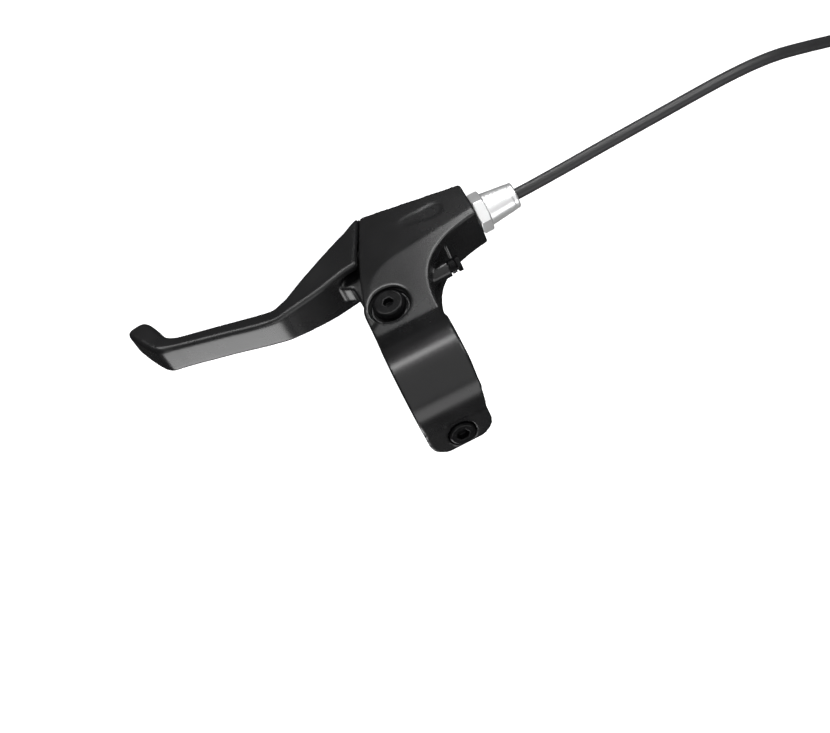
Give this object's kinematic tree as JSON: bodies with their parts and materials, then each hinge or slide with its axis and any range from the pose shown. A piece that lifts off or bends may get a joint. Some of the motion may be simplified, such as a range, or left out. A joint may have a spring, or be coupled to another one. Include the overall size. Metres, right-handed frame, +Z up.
{
  "type": "bicycle brake lever",
  "caption": "Left-hand bicycle brake lever with a one-piece handlebar clamp, hooked finger blade, cable adjuster and a length of housed cable.",
  "frame": {"origin": "middle of the handlebar clamp's bore, on the handlebar's axis", "axes": "+X along the handlebar towards the middle of the bicycle, +Y forward to the lever, +Z up along the lever's pivot"},
  "size_m": [0.32, 0.0922, 0.119],
  "materials": {
    "bracket_black": "satin moulded",
    "lever_black": "satin powder coat",
    "bolt_black": "black coated steel",
    "steel": "zinc plated",
    "sleeve_brass": "plain",
    "washer_nylon": "plain",
    "adjuster_silver": "polished",
    "housing_black": "satin extruded cover",
    "tie_black": "plain"
  },
  "bodies": {
    "bracket": {"bracket": "bracket_black", "pivot_bolt": "bolt_black", "pivot_nut": "steel", "pivot_sleeve": "sleeve_brass", "thrust_washers": "washer_nylon", "return_spring": "steel", "clamp_bolt": "bolt_black", "clamp_washer": "steel", "clamp_nut": "steel"},
    "lever": {"lever_blade": "lever_black"},
    "wire": {"inner_wire": "steel", "cable_nipple": "steel"},
    "housing": {"housing_ferrule": "steel", "cable_housing": "housing_black", "cable_coil": "housing_black", "coil_tie": "tie_black", "end_ferrule": "steel", "wire_tail": "steel", "wire_end_cap": "adjuster_silver"},
    "adjuster": {"barrel_adjuster": "adjuster_silver"},
    "lock_nut": {"lock_nut": "adjuster_silver"},
    "reach_spring": {"reach_spring": "steel"},
    "reach_screw": {"reach_screw": "steel"}
  },
  "joints": [
    {"name": "lever_pivot", "type": "hinge", "parent": "bracket", "child": "lever", "pos_m": [-0.003, 0.0283, 0], "axis": [0, 0, 1], "range_deg": [0, 28], "stiffness_Nm_per_rad": 0.12, "springref_deg": -14.32, "deforming": ["return_spring"]},
    {"name": "nipple_turn", "type": "hinge", "parent": "lever", "child": "wire", "pos_m": [0.00301, 0.0524, 0], "axis": [0, 0, 1], "range_deg": [-29, 0.5]},
    {"name": "adjuster_travel", "type": "slide", "parent": "bracket", "child": "housing", "axis": [1, 0, 0], "range_m": [0, 0.005]},
    {"name": "adjuster_turn", "type": "hinge", "parent": "housing", "child": "adjuster", "pos_m": [0.047, 0.0527, 0], "axis": [1, 0, 0], "range_deg": [0, 1810]},
    {"name": "lock_nut_turn", "type": "hinge", "parent": "adjuster", "child": "lock_nut", "pos_m": [0.039, 0.0527, 0], "axis": [1, 0, 0], "continuous": true},
    {"name": "reach_travel", "type": "slide", "parent": "bracket", "child": "reach_spring", "axis": [1, 0, 0], "range_m": [0, 0.0024], "deforming": ["reach_spring"]},
    {"name": "reach_turn", "type": "hinge", "parent": "reach_spring", "child": "reach_screw", "pos_m": [0.0203, 0.0373, 0], "axis": [1, 0, 0], "range_deg": [0, 1090]}
  ],
  "couplings": [
    {"joint": "nipple_turn", "follows": "lever_pivot", "ratio": -1},
    {"joint": "adjuster_turn", "follows": "adjuster_travel", "rad_per_m": 6283.2},
    {"joint": "reach_turn", "follows": "reach_travel", "rad_per_m": 7854}
  ]
}
